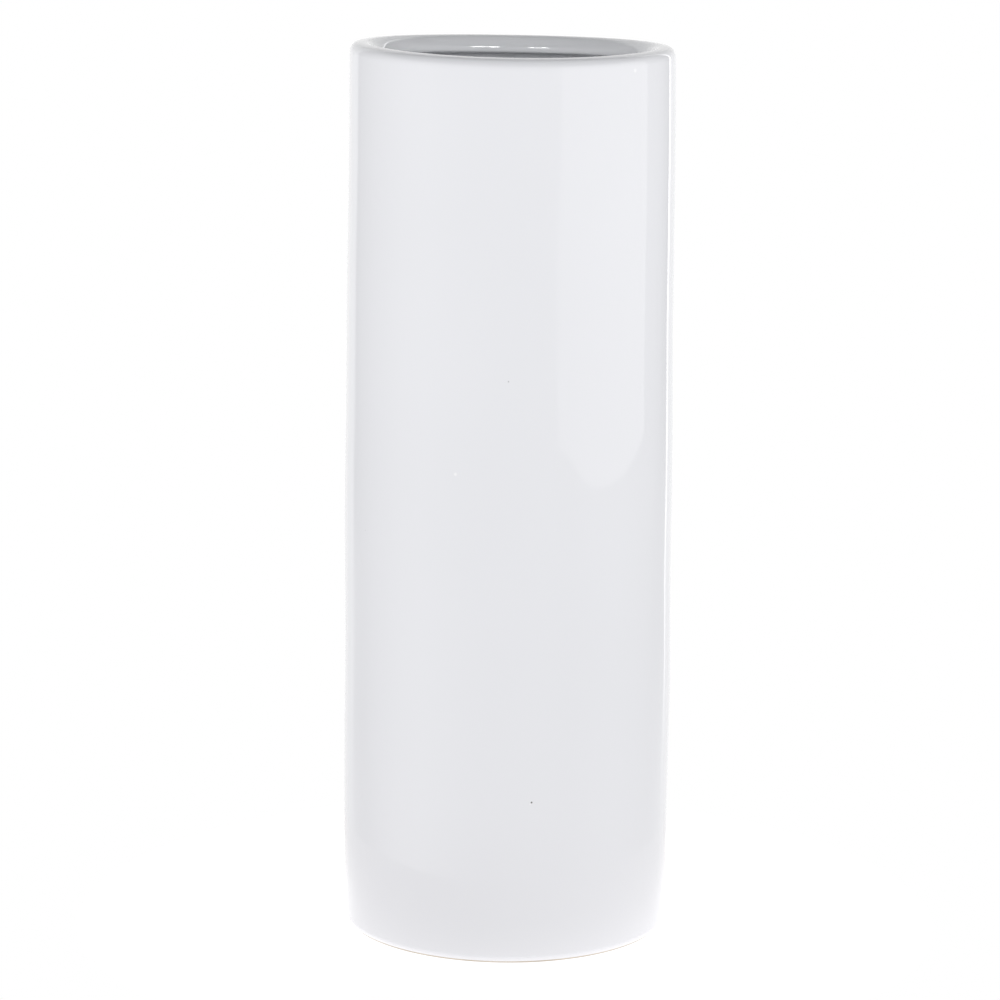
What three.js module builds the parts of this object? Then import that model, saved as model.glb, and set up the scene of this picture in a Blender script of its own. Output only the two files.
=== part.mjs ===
// A white glazed ceramic cylinder vase: a slip-cast clay body under three coats of glaze.
// Millimetres, +Z up, origin at the centre of the foot, where the vase stands.
import * as THREE from 'three';

// Outside form.
const height = 304.8; // 12 in, from the table to the crest of the rim
const baseRadius = 56.6; // where the wall meets the heel
const rimRadius = 54.9; // where the wall meets the lip
const belly = 0.45; // how far the wall swells at mid-height, out of a straight taper
const heelReach = 2.85; // the rounded heel, inward and upward
const heelRise = 2.85;
const domeRadius = 15; // gentle rounding across the top of the rim, out from the crest
const domeTilt = 10; // degrees, its slope where the lip's tighter rounding takes over
const lipReach = 2.6; // the lip's rounding, inward and upward from the wall
const lipRise = 3.6;

// Inside form.
const wall = 6; // thickness of the wall and of its two coats together
const mouthRadius = 45.3; // the narrowest circle, on the thickened rim's inner side
const beadDepth = 5.4; // how far that circle lies below the crest
const beadUnderside = 1; // from that circle down to where the bead meets the wall
const floorTop = 10; // top of the inside floor
const floorCorner = 6; // rounding between the floor and the wall

// Foot: a bare ring round a glazed recess.
const footOuterRadius = 54.8;
const recessRadius = 43; // flat part of the recess
const recessReach = 4; // its rounded side, out to the foot ring
const recessRise = 3.2; // depth of the recess in the clay

// Glaze.
const glaze = 0.6; // thickness of each coat
const bond = 0.05; // clearance that keeps a coat's solid apart from the clay it is fused to
const heelGlazeLine = -50; // degrees round the heel, below the horizontal, where the coat stops
const recessGlazeLine = 30; // degrees up the recess's side, where its coat starts

const segments = 48; // facets round the vase
const wallSteps = 4; // straight stretches up the wall

const tilt = THREE.MathUtils.degToRad(domeTilt);
const lipTurn = Math.atan2(lipRise, lipReach * Math.tan(tilt)); // how far round its ellipse the lip goes
const crestRadius = rimRadius - lipReach * (1 - Math.cos(lipTurn)) - domeRadius * Math.sin(tilt);
const wallFoot = heelRise;
const wallTop = height - domeRadius * (1 - Math.cos(tilt)) - lipRise * Math.sin(lipTurn);
const ledge = height - beadDepth - beadUnderside;

// Outside radius of the wall: a straight draft from base to rim, with a slight swell.
function wallRadius(z) {
  const t = (z - wallFoot) / (wallTop - wallFoot);
  return THREE.MathUtils.lerp(baseRadius, rimRadius, t) + belly * 4 * t * (1 - t);
}

// Points on an ellipse's arc, both ends included. Angle 0 points outward and 90 points up.
function arc(centreRadius, centreHeight, reach, rise, fromDegrees, toDegrees, steps) {
  const points = [];
  for (let i = 0; i <= steps; i++) {
    const angle = THREE.MathUtils.degToRad(THREE.MathUtils.lerp(fromDegrees, toDegrees, i / steps));
    points.push(
      new THREE.Vector2(centreRadius + reach * Math.cos(angle), centreHeight + rise * Math.sin(angle)),
    );
  }
  return points;
}

// Points up a wall between two heights, both ends left out.
function wallPoints(fromHeight, toHeight, inset) {
  const points = [];
  for (let i = 1; i < wallSteps; i++) {
    const z = THREE.MathUtils.lerp(fromHeight, toHeight, i / wallSteps);
    points.push(new THREE.Vector2(wallRadius(z) - inset, z));
  }
  return points;
}

// The outside, from the heel's glaze line up the wall and over the lip to the crest.
// depth is how far the path lies under the glaze's own surface.
function outsidePath(depth) {
  const heel = [heelReach - depth, heelRise - depth];
  const lip = [lipReach - depth, lipRise - depth];
  const dome = [domeRadius - depth, domeRadius - depth];
  return [
    ...arc(baseRadius - heelReach, heelRise, ...heel, heelGlazeLine, 0, 3),
    ...wallPoints(wallFoot, wallTop, depth),
    ...arc(rimRadius - lipReach, wallTop, ...lip, 0, THREE.MathUtils.radToDeg(lipTurn), 3),
    ...arc(crestRadius, height - domeRadius, ...dome, 90 - domeTilt, 90, 2).slice(1),
  ];
}

// The inside, from the crest round the rim's bead, down the wall and round the corner onto the floor.
function insidePath(depth) {
  const cornerTop = floorTop + floorCorner;
  const cornerCentre = wallRadius(cornerTop) - wall - floorCorner;
  const ledgeRadius = wallRadius(ledge) - wall;
  const bead = [crestRadius - mouthRadius - depth, beadDepth - depth];
  const underside = [ledgeRadius - mouthRadius - depth, beadUnderside - depth];
  const corner = [floorCorner + depth, floorCorner + depth];
  return [
    ...arc(crestRadius, height - beadDepth, ...bead, 90, 180, 4),
    ...arc(ledgeRadius, height - beadDepth, ...underside, 180, 270, 3).slice(1, -1),
    new THREE.Vector2(ledgeRadius + depth, ledge + depth),
    ...wallPoints(ledge + depth, cornerTop, wall - depth),
    ...arc(cornerCentre, cornerTop, ...corner, 0, -90, 4),
    new THREE.Vector2(0, floorTop - depth),
  ];
}

// The glazed part of the recess under the base, from its glaze line to the middle.
// cover is how far the path lies off the clay.
function recessPath(cover) {
  const side = arc(recessRadius, 0, recessReach - cover, recessRise - cover, recessGlazeLine, 90, 3);
  return [...side, new THREE.Vector2(0, recessRise - cover)];
}

// A solid of revolution about +Z. The outline runs anticlockwise, with the axis on its left.
function turned(name, outline, material) {
  const geometry = new THREE.LatheGeometry(outline, segments);
  geometry.rotateX(Math.PI / 2);
  const mesh = new THREE.Mesh(geometry, material);
  mesh.name = name;
  return mesh;
}

function clayBody() {
  const footRing = [
    ...arc(recessRadius, 0, recessReach, recessRise, recessGlazeLine, 0, 1).slice(1),
    new THREE.Vector2(footOuterRadius, 0),
  ];
  const clayDepth = glaze + bond;
  const upperSide = [...outsidePath(clayDepth), ...insidePath(clayDepth).slice(1)];
  const outline = [...recessPath(0).reverse(), ...footRing, ...upperSide];
  const bisque = new THREE.MeshStandardMaterial({ color: 0xd9d0c0, roughness: 0.85, metalness: 0 });
  return turned('clay_body', outline, bisque);
}

// Dipped up to the crest of the rim, and wiped off above the foot.
function outerGlaze() {
  const outline = [...outsidePath(0), ...outsidePath(glaze).reverse(), outsidePath(0)[0]];
  const gloss = new THREE.MeshStandardMaterial({ color: 0xebebe9, roughness: 0.12, metalness: 0 });
  return turned('outer_glaze', outline, gloss);
}

// Poured into the vase, rolled round and tipped out over the rim, so it meets the outer coat at the crest.
function innerGlaze() {
  const outline = [...insidePath(glaze).reverse(), ...insidePath(0)];
  const gloss = new THREE.MeshStandardMaterial({ color: 0xe6e6e3, roughness: 0.14, metalness: 0 });
  return turned('inner_glaze', outline, gloss);
}

// The pool of glaze in the recess, apart from the outer coat because the foot ring is bare.
function undersideGlaze() {
  const outline = [...recessPath(bond + glaze).reverse(), ...recessPath(bond)];
  const gloss = new THREE.MeshStandardMaterial({ color: 0xe6e5e0, roughness: 0.18, metalness: 0 });
  return turned('underside_glaze', outline, gloss);
}

const vase = new THREE.Group();
vase.add(clayBody(), outerGlaze(), innerGlaze(), undersideGlaze());

export default vase;
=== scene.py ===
"""A tall white glazed ceramic cylinder vase on a lit white table, in soft studio light."""
import math

import bpy
from mathutils import Matrix, Vector, noise


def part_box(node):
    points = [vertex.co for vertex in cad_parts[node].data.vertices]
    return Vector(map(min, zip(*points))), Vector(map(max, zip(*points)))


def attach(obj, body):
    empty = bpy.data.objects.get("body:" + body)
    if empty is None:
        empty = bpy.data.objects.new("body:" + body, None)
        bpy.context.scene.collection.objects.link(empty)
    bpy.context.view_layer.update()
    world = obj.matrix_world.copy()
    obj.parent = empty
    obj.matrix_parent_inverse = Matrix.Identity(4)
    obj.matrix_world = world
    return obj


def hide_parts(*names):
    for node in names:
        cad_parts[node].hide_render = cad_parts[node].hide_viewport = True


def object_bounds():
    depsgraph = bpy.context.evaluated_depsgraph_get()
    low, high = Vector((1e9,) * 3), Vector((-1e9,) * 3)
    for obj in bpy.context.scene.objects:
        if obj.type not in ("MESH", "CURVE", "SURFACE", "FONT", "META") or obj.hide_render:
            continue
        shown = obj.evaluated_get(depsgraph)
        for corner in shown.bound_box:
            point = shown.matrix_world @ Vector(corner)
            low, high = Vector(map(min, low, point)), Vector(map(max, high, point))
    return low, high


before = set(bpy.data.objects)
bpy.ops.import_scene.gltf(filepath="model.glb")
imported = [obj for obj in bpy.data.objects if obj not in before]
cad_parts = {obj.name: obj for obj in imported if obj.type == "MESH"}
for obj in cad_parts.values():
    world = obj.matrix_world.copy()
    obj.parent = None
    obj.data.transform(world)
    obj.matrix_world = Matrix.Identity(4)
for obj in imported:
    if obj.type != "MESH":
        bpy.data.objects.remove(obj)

CAD_LOW, CAD_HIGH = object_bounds()
MM = 0.001

# The vase's form, as the CAD model has it.
HEIGHT = CAD_HIGH.z
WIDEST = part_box("outer_glaze")[1].x
BASE_RADIUS = 56.6 * MM
RIM_RADIUS = 54.9 * MM
BELLY = 0.45 * MM
HEEL = 2.85 * MM
DOME, DOME_TILT = 15.0 * MM, 10  # the rim's top is gently domed, to a slope of so many degrees
LIP_REACH, LIP_RISE = 2.6 * MM, 3.6 * MM  # and from there the lip turns more tightly onto the wall
WALL = 6.0 * MM
MOUTH_RADIUS = 45.3 * MM
BEAD_DEPTH, BEAD_UNDERSIDE = 5.4 * MM, 1.0 * MM
FLOOR_TOP, FLOOR_CORNER = 10.0 * MM, 6.0 * MM
FOOT_OUTER = 54.8 * MM
RECESS_RADIUS, RECESS_REACH, RECESS_RISE = 43.0 * MM, 4.0 * MM, 3.2 * MM
GLAZE, BOND = 0.6 * MM, 0.05 * MM
HEEL_GLAZE_LINE, RECESS_GLAZE_LINE = -50, 30  # degrees round the heel and up the recess's side

TILT = math.radians(DOME_TILT)
LIP_TURN = math.atan2(LIP_RISE, LIP_REACH * math.tan(TILT))  # how far round its ellipse the lip goes
CREST_RADIUS = RIM_RADIUS - LIP_REACH * (1 - math.cos(LIP_TURN)) - DOME * math.sin(TILT)
WALL_TOP = HEIGHT - DOME * (1 - math.cos(TILT)) - LIP_RISE * math.sin(LIP_TURN)
LEDGE = HEIGHT - BEAD_DEPTH - BEAD_UNDERSIDE

# How far the fired vase strays from that form.
RIM_TILT, RIM_LEAN = 0.41 * MM, 0.3 * MM  # the rim is lower on the right, and at the front
RIM_SADDLE = 0.42 * MM  # and lower at the front and back than at the sides
RIM_FROM = 0.75  # the rim's warp grows from this share of the height upward
TRUE_FOOT = 20 * MM  # and the waves grow from nothing at the table to full size at this height
WAVE_HEIGHT, WAVE_LENGTH = 0.45 * MM, 60 * MM
RIPPLE_HEIGHT, RIPPLE_LENGTH = 0.03 * MM, 17 * MM

# Spots painted on the outer glaze, as (degrees to the right of the front, height, radius).
# Pinholes, drawn only as dark painted shade where their pits are.
PINHOLE_SHADE_SPOTS = [(8.8, 56.4 * MM, 0.28 * MM), (-0.4, 199 * MM, 0.15 * MM), (-58.5, 143.5 * MM, 0.2 * MM)]
# Pale spots: painted glints, the first one the lit lower side of the first pinhole.
PAINTED_GLINTS = [(8.3, 55.8 * MM, 0.25 * MM), (-18.3, 167.5 * MM, 0.5 * MM), (46.7, 299.4 * MM, 0.6 * MM)]
# The colours of the pinholes' painted shade and of the painted glints.
PINHOLE_SHADE_COLOUR = (0.05, 0.045, 0.04)
GLINT_COLOUR = (0.88, 0.88, 0.9)

# The studio, in metres from the vase's foot.
LAMP_HEIGHT = 0.85
FAR, NEAR = 1.2, 0.75  # how far off the reflected panels and the fills stand
BAND_LIFT = 0.35  # how much higher the surroundings reach behind the vase


def wall_radius(z):
    """The outside of the wall: a straight draft from base to rim, with a slight swell."""
    t = (z - HEEL) / (WALL_TOP - HEEL)
    return BASE_RADIUS + (RIM_RADIUS - BASE_RADIUS) * t + BELLY * 4 * t * (1 - t)


def arc(centre_radius, centre_height, reach, rise, from_degrees, to_degrees, steps):
    """(radius, height) points on an ellipse's arc. Angle 0 points outward and 90 points up."""
    turns = [from_degrees + (to_degrees - from_degrees) * i / steps for i in range(steps + 1)]
    angles = [math.radians(turn) for turn in turns]
    return [(centre_radius + reach * math.cos(a), centre_height + rise * math.sin(a)) for a in angles]


def wall_points(low, high, inset, steps):
    """Points up the wall between two heights, both ends left out."""
    heights = [low + (high - low) * i / steps for i in range(1, steps)]
    return [(wall_radius(z) - inset, z) for z in heights]


def outside_path(depth, fine):
    """From the heel's glaze line up the wall and over the lip to the crest, depth under the surface."""
    heel, dome = HEEL - depth, DOME - depth
    lip = (LIP_REACH - depth, LIP_RISE - depth)
    heel_steps, lip_steps, dome_steps = (10, 20, 12) if fine else (4, 6, 4)
    path = arc(BASE_RADIUS - HEEL, HEEL, heel, heel, HEEL_GLAZE_LINE, 0, heel_steps)
    path += wall_points(HEEL, WALL_TOP, depth, 200 if fine else 40)
    path += arc(RIM_RADIUS - LIP_REACH, WALL_TOP, *lip, 0, math.degrees(LIP_TURN), lip_steps)
    path += arc(CREST_RADIUS, HEIGHT - DOME, dome, dome, 90 - DOME_TILT, 90, dome_steps)[1:]
    return path


def inside_path(depth, fine):
    """From the crest round the bead, down the wall and round the corner to the middle of the floor."""
    corner_top = FLOOR_TOP + FLOOR_CORNER
    corner_centre = wall_radius(corner_top) - WALL - FLOOR_CORNER
    corner = FLOOR_CORNER + depth
    ledge_radius = wall_radius(LEDGE) - WALL
    bead_height = HEIGHT - BEAD_DEPTH
    bead_steps, under_steps, corner_steps, floor_steps = (24, 12, 12, 12) if fine else (6, 4, 6, 4)
    bead = (CREST_RADIUS - MOUTH_RADIUS - depth, BEAD_DEPTH - depth)
    underside = (ledge_radius - MOUTH_RADIUS - depth, BEAD_UNDERSIDE - depth)
    path = arc(CREST_RADIUS, bead_height, *bead, 90, 180, bead_steps)
    path += arc(ledge_radius, bead_height, *underside, 180, 270, under_steps)[1:-1]
    path += [(ledge_radius + depth, LEDGE + depth)]
    path += wall_points(LEDGE + depth, corner_top, WALL - depth, 120 if fine else 40)
    path += arc(corner_centre, corner_top, corner, corner, 0, -90, corner_steps)
    path += [(corner_centre * (1 - i / floor_steps), FLOOR_TOP - depth) for i in range(1, floor_steps + 1)]
    return path


def recess_path(cover, fine):
    """The glazed part of the recess, from its glaze line to the middle, cover off the clay."""
    reach, rise = RECESS_REACH - cover, RECESS_RISE - cover
    path = arc(RECESS_RADIUS, 0, reach, rise, RECESS_GLAZE_LINE, 90, 12 if fine else 4)
    steps = 12 if fine else 3
    return path + [(RECESS_RADIUS * (1 - i / steps), rise) for i in range(1, steps + 1)]


def smooth(t):
    """0 up to 0 and 1 from 1 on, eased in between."""
    t = min(max(t, 0), 1)
    return t * t * (3 - 2 * t)


def stray(radius, angle, z):
    """Where a point of the true form really lies: the rim warps, and the wall waves in and out."""
    c, s = math.cos(angle), math.sin(angle)
    rim_share = smooth((z / HEIGHT - RIM_FROM) / (1 - RIM_FROM))
    lift = rim_share * (RIM_SADDLE * math.cos(2 * angle) - RIM_TILT * c + RIM_LEAN * s)
    spot = Vector((c * WIDEST, s * WIDEST, z))
    wave = WAVE_HEIGHT * noise.noise(spot / WAVE_LENGTH)
    wave += RIPPLE_HEIGHT * noise.noise(spot / RIPPLE_LENGTH)
    moved = radius + wave * smooth(z / TRUE_FOOT) * radius / WIDEST
    return (moved * c, moved * s, z + lift)


def turned(name, outline, segments):
    """A closed solid of revolution. The outline starts and ends on the axis, or closes on itself."""
    ring = outline[:-1] if outline[0] == outline[-1] else outline
    verts = []
    rows = []
    for radius, z in ring:
        if radius < 1e-9:
            rows.append([len(verts)] * segments)
            verts.append((0, 0, z))
            continue
        rows.append(list(range(len(verts), len(verts) + segments)))
        verts += [stray(radius, 2 * math.pi * k / segments, z) for k in range(segments)]
    pairs = list(zip(rows, rows[1:]))
    if outline[0] == outline[-1]:
        pairs.append((rows[-1], rows[0]))
    faces = []
    for lower, upper in pairs:
        for k in range(segments):
            j = (k + 1) % segments
            corners = [lower[k], lower[j], upper[j], upper[k]]
            faces.append(list(dict.fromkeys(corners)))
    mesh = bpy.data.meshes.new(name)
    mesh.from_pydata(verts, [], [f for f in faces if len(f) > 2])
    mesh.shade_smooth()
    mesh.set_sharp_from_angle(angle=math.radians(45))
    piece = bpy.data.objects.new(name, mesh)
    bpy.context.collection.objects.link(piece)
    return piece


class Nodes:
    """Short names for making and joining a material's nodes."""

    def __init__(self, name):
        self.material = bpy.data.materials.new(name)
        self.material.use_nodes = True
        self.tree = self.material.node_tree
        self.shader = self.tree.nodes["Principled BSDF"]
        self.place = self.add("ShaderNodeTexCoord").outputs["Object"]

    def add(self, kind, **values):
        node = self.tree.nodes.new(kind)
        for key, value in values.items():
            setattr(node, key, value)
        return node

    def join(self, source, target):
        self.tree.links.new(source, target)

    def noise(self, scale, detail, stretch=(1, 1, 1)):
        """A noise of so many cells to the metre, from 0 to 1."""
        mapping = self.add("ShaderNodeMapping")
        mapping.inputs["Scale"].default_value = stretch
        self.join(self.place, mapping.inputs["Vector"])
        texture = self.add("ShaderNodeTexNoise")
        texture.inputs["Scale"].default_value = scale
        texture.inputs["Detail"].default_value = detail
        self.join(mapping.outputs["Vector"], texture.inputs["Vector"])
        return texture.outputs["Fac"]

    def ramp(self, source, low, high, stops):
        """The source spread from low to high over a list of colours or grey values."""
        node = self.add("ShaderNodeValToRGB")
        spread = self.add("ShaderNodeMapRange")
        spread.inputs["From Min"].default_value = low
        spread.inputs["From Max"].default_value = high
        self.join(source, spread.inputs["Value"])
        self.join(spread.outputs["Result"], node.inputs["Fac"])
        while len(node.color_ramp.elements) < len(stops):
            node.color_ramp.elements.new(0.5)
        for i, stop in enumerate(stops):
            colour = stop if isinstance(stop, tuple) else (stop, stop, stop)
            node.color_ramp.elements[i].position = i / (len(stops) - 1)
            node.color_ramp.elements[i].color = (*colour, 1)
        return node.outputs["Color"]

    def combine(self, operation, first, second):
        """An operation on two sources, either of which may be a plain number."""
        node = self.add("ShaderNodeMath", operation=operation)
        for value, socket in zip((first, second), node.inputs):
            if isinstance(value, bpy.types.NodeSocket):
                self.join(value, socket)
            else:
                socket.default_value = value
        return node.outputs["Value"]

    def painted_spot_mask(self, spots):
        """1 in the middle of each spot on the wall, falling to 0 a little outside its radius."""
        total = 0
        for degrees, height, radius in spots:
            angle = math.radians(degrees)
            reach = wall_radius(height)
            gap = self.add("ShaderNodeVectorMath", operation="DISTANCE")
            self.join(self.place, gap.inputs[0])
            gap.inputs[1].default_value = (math.sin(angle) * reach, -math.cos(angle) * reach, height)
            here = self.ramp(gap.outputs["Value"], 0.5 * radius, 1.5 * radius, [1, 0])
            total = self.combine("MAXIMUM", total, here)
        return total

    def bump(self, source, distance):
        node = self.add("ShaderNodeBump")
        node.inputs["Distance"].default_value = distance
        node.inputs["Strength"].default_value = 1
        self.join(source, node.inputs["Height"])
        return node.outputs["Normal"]


def glaze_material(name, light, dark, roughness, with_painted_spots=False):
    """Glossy white glaze: faint clouding where the coat varies, and the orange peel of a fired surface."""
    n = Nodes(name)
    clouds = n.noise(14, detail=3, stretch=(1, 1, 0.6))
    colour = n.ramp(clouds, 0.3, 0.7, [dark, light])
    # Painted shade for the pinholes' pits and painted glints, mixed into the glaze's colour.
    if with_painted_spots:
        for spots, tint in ((PINHOLE_SHADE_SPOTS, PINHOLE_SHADE_COLOUR), (PAINTED_GLINTS, GLINT_COLOUR)):
            spot_paint = n.add("ShaderNodeMix", data_type="RGBA")
            n.join(n.painted_spot_mask(spots), spot_paint.inputs["Factor"])
            n.join(colour, spot_paint.inputs["A"])
            spot_paint.inputs["B"].default_value = (*tint, 1)
            colour = spot_paint.outputs["Result"]
    n.join(colour, n.shader.inputs["Base Color"])
    smears = n.noise(40, detail=3)
    n.join(n.ramp(smears, 0.3, 0.7, [roughness * 0.8, roughness * 1.3]), n.shader.inputs["Roughness"])
    n.join(n.bump(n.noise(150, detail=1), 0.004 * MM), n.shader.inputs["Normal"])
    n.shader.inputs["IOR"].default_value = 1.52
    return n.material


def clay_material():
    """Bare fired clay: warm, matt and finely grained, rubbed a little darker in patches."""
    n = Nodes("bisque")
    patches = n.noise(60, detail=4)
    stops = [(0.50, 0.43, 0.34), (0.66, 0.59, 0.49), (0.72, 0.66, 0.57)]
    n.join(n.ramp(patches, 0.25, 0.75, stops), n.shader.inputs["Base Color"])
    grain = n.noise(1800, detail=4)
    n.join(n.ramp(grain, 0.3, 0.7, [0.78, 0.95]), n.shader.inputs["Roughness"])
    n.join(n.bump(grain, 0.08 * MM), n.shader.inputs["Normal"])
    n.shader.inputs["Specular IOR Level"].default_value = 0.25
    return n.material


def add_piece(name, outline, segments, node, material):
    """A turned piece that takes the place of one CAD node, on the body that never moves."""
    piece = turned(name, outline, segments)
    piece.data.materials.append(material)
    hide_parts(node)
    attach(piece, "root")


def make_vase():
    """The clay and its three coats of glaze."""
    outer_white = glaze_material("outer_white", (0.795, 0.80, 0.83), (0.785, 0.79, 0.82), 0.02, with_painted_spots=True)
    inner_white = glaze_material("inner_white", (0.775, 0.785, 0.81), (0.76, 0.77, 0.795), 0.02)
    under_white = glaze_material("under_white", (0.78, 0.78, 0.78), (0.74, 0.74, 0.73), 0.12)

    front, back = outside_path(0, True), outside_path(GLAZE, False)
    outline = front + back[::-1] + front[:1]
    add_piece("glaze_outside", outline, 512, "outer_glaze", outer_white)

    outline = inside_path(GLAZE, False)[::-1] + inside_path(0, True)
    add_piece("glaze_inside", outline, 512, "inner_glaze", inner_white)

    outline = recess_path(BOND + GLAZE, True)[::-1] + recess_path(BOND, False)
    add_piece("glaze_underside", outline, 256, "underside_glaze", under_white)

    bare_side = arc(RECESS_RADIUS, 0, RECESS_REACH, RECESS_RISE, RECESS_GLAZE_LINE, 0, 6)[1:]
    foot = bare_side + [(FOOT_OUTER, 0)]
    clay_depth = GLAZE + BOND
    upper = outside_path(clay_depth, False) + inside_path(clay_depth, False)[1:]
    outline = recess_path(0, False)[::-1] + foot + upper
    add_piece("clay", outline, 256, "clay_body", clay_material())


def aim(thing, place, target):
    thing.location = place
    thing.rotation_mode = "QUATERNION"
    thing.rotation_quaternion = (Vector(target) - Vector(place)).to_track_quat("-Z", "Y")


def panel(name, azimuth, height, distance, size, radiance, only=None):
    """An upright softbox that faces the vase. Azimuth 0 is the camera's side and 90 the right."""
    a = math.radians(azimuth)
    spot = Vector((math.sin(a) * distance, -math.cos(a) * distance, height))
    light = bpy.data.lights.new(name, "AREA")
    light.shape = "RECTANGLE"
    light.size, light.size_y = size
    light.energy = radiance * size[0] * size[1] * math.pi
    lamp = bpy.data.objects.new(name, light)
    bpy.context.collection.objects.link(lamp)
    aim(lamp, spot, (0, 0, height))
    lamp.visible_camera = False
    if only:
        lit = bpy.data.collections.new(name)
        lit.objects.link(only)
        lamp.light_linking.receiver_collection = lit
    return lamp


def soft_fill(name, azimuth, radiance, only):
    """A softbox that lights one coat of glaze but doesn't show in it."""
    fill = panel(name, azimuth, LAMP_HEIGHT, NEAR, (0.5, 0.25), radiance, only)
    fill.visible_glossy = False


def make_table():
    """A white table top lit from below, with painted shadow under the foot and painted light close behind
    it.
    """
    radius, segments = 0.15, 96
    # Painted light: the front dimmer, as in the vase's shadow, and the back brighter, as in a pool of light.
    front_glow, back_glow = 0.93, 1.55
    shadow_from, shadow_to = 53.2 * MM, 55.7 * MM
    verts = [(0, 0, 0)]
    angles = [2 * math.pi * k / segments for k in range(segments)]
    verts += [(radius * math.cos(a), radius * math.sin(a), 0) for a in angles]
    mesh = bpy.data.meshes.new("table")
    mesh.from_pydata(verts, [], [(0, k + 1, (k + 1) % segments + 1) for k in range(segments)])
    table = bpy.data.objects.new("table", mesh)
    bpy.context.collection.objects.link(table)

    n = Nodes("lit_table")
    n.shader.inputs["Base Color"].default_value = (0, 0, 0, 1)
    n.shader.inputs["Emission Color"].default_value = (1, 0.985, 0.985, 1)
    span = n.add("ShaderNodeSeparateXYZ")
    n.join(n.place, span.inputs["Vector"])
    behind = n.ramp(span.outputs["Y"], -0.10, 0.02, [0, 1])
    reach = n.add("ShaderNodeVectorMath", operation="LENGTH")
    n.join(n.place, reach.inputs[0])
    near = n.ramp(reach.outputs["Value"], 0.06, 0.13, [1, 0.3, 0])
    painted_light_pool = n.add("ShaderNodeMapRange")
    painted_light_pool.inputs["To Min"].default_value = front_glow
    painted_light_pool.inputs["To Max"].default_value = back_glow
    n.join(n.combine("MULTIPLY", behind, near), painted_light_pool.inputs["Value"])
    # Painted contact shadow: the glow falls to a tenth under the foot.
    clear = n.ramp(reach.outputs["Value"], shadow_from, shadow_to, [0.1, 1])
    strength = n.combine("MULTIPLY", painted_light_pool.outputs["Result"], clear)
    n.join(strength, n.shader.inputs["Emission Strength"])
    mesh.materials.append(n.material)


# What stands round the vase, as (degrees from the camera's side, positive to the right, radiance).
SURROUNDINGS = [
    (-180, 1.03),  # the backdrop, to its left edge
    (-139.5, 1.08),
    (-138.5, 0.47),  # a dark corner of the room
    (-120, 0.62),
    (-103, 0.95),
    (-80, 1.45),  # a soft window on the left, brightest at its middle
    (-62, 1.60),
    (-35, 1.28),
    (-10, 1.08),  # the room beside and behind the camera
    (30, 1.06),
    (42, 0.95),
    (62, 1.05),
    (85, 1.0),
    (98, 0.90),  # falling off to a dark corner on the right
    (120, 0.72),
    (144.5, 0.40),
    (145.5, 1.0),  # a bright strip at the backdrop's right edge
    (146.2, 3.0),
    (148.2, 3.0),
    (149.2, 1.0),
    (180, 1.0),
]


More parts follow.
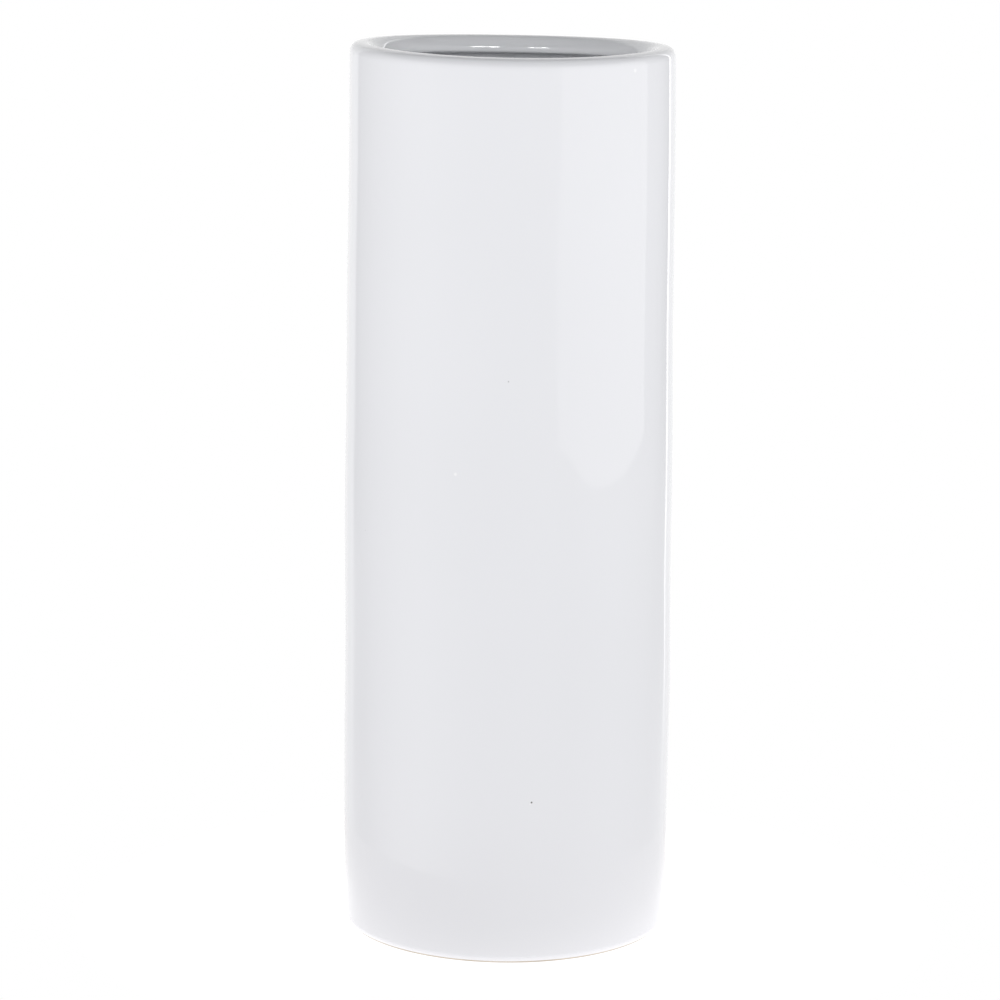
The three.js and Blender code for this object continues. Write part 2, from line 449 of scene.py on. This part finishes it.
def make_world():
    """The surroundings in a band round the horizon, dark overhead, pale below, and white to the camera."""
    world = bpy.data.worlds.new("studio")
    bpy.context.scene.world = world
    world.use_nodes = True
    tree = world.node_tree
    tree.nodes.clear()

    def add(kind, **values):
        node = tree.nodes.new(kind)
        for key, value in values.items():
            setattr(node, key, value)
        return node

    def join(source, target):
        tree.links.new(source, target)

    def ramp(source, stops):
        node = add("ShaderNodeValToRGB")
        join(source, node.inputs["Fac"])
        elements = node.color_ramp.elements
        while len(elements) < len(stops):
            elements.new(0.5)
        for element, (position, grey) in zip(elements, stops):
            element.position = position
            element.color = (grey, grey, grey, 1)
        return node.outputs["Color"]

    split = add("ShaderNodeSeparateXYZ")
    join(add("ShaderNodeTexCoord").outputs["Generated"], split.inputs["Vector"])
    x, y, z = (split.outputs[axis] for axis in "XYZ")

    # The direction's azimuth, 0 to 1 from -180 to 180 degrees.
    minus_y = add("ShaderNodeMath", operation="MULTIPLY")
    minus_y.inputs[1].default_value = -1
    join(y, minus_y.inputs[0])
    azimuth = add("ShaderNodeMath", operation="ARCTAN2")
    join(x, azimuth.inputs[0])
    join(minus_y.outputs["Value"], azimuth.inputs[1])
    turn = add("ShaderNodeMapRange")
    turn.inputs["From Min"].default_value = -math.pi
    turn.inputs["From Max"].default_value = math.pi
    join(azimuth.outputs["Value"], turn.inputs["Value"])

    # Its rise, 0 to 1 from straight down to straight up, with the whole band set higher behind the vase.
    behind = add("ShaderNodeMath", operation="MAXIMUM")
    behind.inputs[1].default_value = 0
    join(y, behind.inputs[0])
    lowered = add("ShaderNodeMath", operation="MULTIPLY_ADD")
    lowered.inputs[1].default_value = -BAND_LIFT
    join(behind.outputs["Value"], lowered.inputs[0])
    join(z, lowered.inputs[2])
    rise = add("ShaderNodeMapRange")
    rise.inputs["From Min"].default_value = -1
    join(lowered.outputs["Value"], rise.inputs["Value"])

    around = ramp(turn.outputs["Result"], [(degrees / 360 + 0.5, grey) for degrees, grey in SURROUNDINGS])
    pale, dark = 1.02, 0.12
    plain = ramp(rise.outputs["Result"], [(0, pale), (0.5, pale), (0.65, dark), (1, 0.08)])
    # How much of the surroundings shows at each rise, where the rest is the plain room.
    share = ramp(rise.outputs["Result"], [(0, 0), (0.22, 0), (0.30, 1), (0.66, 1), (0.77, 0), (1, 0)])
    room = add("ShaderNodeMix", data_type="RGBA")
    join(share, room.inputs["Factor"])
    join(plain, room.inputs["A"])
    join(around, room.inputs["B"])
    lit = add("ShaderNodeBackground")
    join(room.outputs["Result"], lit.inputs["Color"])
    seen = add("ShaderNodeBackground")
    seen.inputs["Color"].default_value = (1, 1, 1, 1)
    mix = add("ShaderNodeMixShader")
    join(add("ShaderNodeLightPath").outputs["Is Camera Ray"], mix.inputs["Fac"])
    join(lit.outputs["Background"], mix.inputs[1])
    join(seen.outputs["Background"], mix.inputs[2])
    join(mix.outputs["Shader"], add("ShaderNodeOutputWorld").inputs["Surface"])


def make_studio():
    make_world()
    make_table()
    outside, inside = (bpy.data.objects[name] for name in ("glaze_outside", "glaze_inside"))

    # Two lamps that show as dashes inside the mouth, and a fill there.
    for name, azimuth, width in (("right_lamp", 26, 0.56), ("left_lamp", -24, 0.44)):
        lamp = panel(name, azimuth, LAMP_HEIGHT, FAR, (width, 0.10), 24, inside)
        lamp.visible_diffuse = False
    soft_fill("inner_fill", 0, 6.0, inside)

    # A screen whose reflection is the pale panel on the right of the wall, and fills on either side.
    panel("right_screen", 70, 0.42, FAR, (1.81, 0.96), 0.66)
    for side in (-50, 50):
        soft_fill(f"fill_{side}", side, 2.6, outside)


def make_camera():
    """A long lens in front of the vase, looking a little down on it."""
    distance, height, lens = 1.234, 0.3919, 131.27
    pitch, turn, roll = 11.157, 0.137, 0.505  # degrees: down, left and round the line of sight
    data = bpy.data.cameras.new("camera")
    data.lens = lens
    data.sensor_width = 36
    camera = bpy.data.objects.new("camera", data)
    bpy.context.collection.objects.link(camera)
    look = Matrix.Rotation(math.radians(turn), 4, "Z")
    look @= Matrix.Rotation(math.radians(90 - pitch), 4, "X")
    look @= Matrix.Rotation(math.radians(roll), 4, "Z")
    camera.matrix_world = Matrix.Translation((0, -distance, height)) @ look
    bpy.context.scene.camera = camera
    bpy.context.scene.view_settings.view_transform = "Standard"


make_vase()
make_studio()
make_camera()
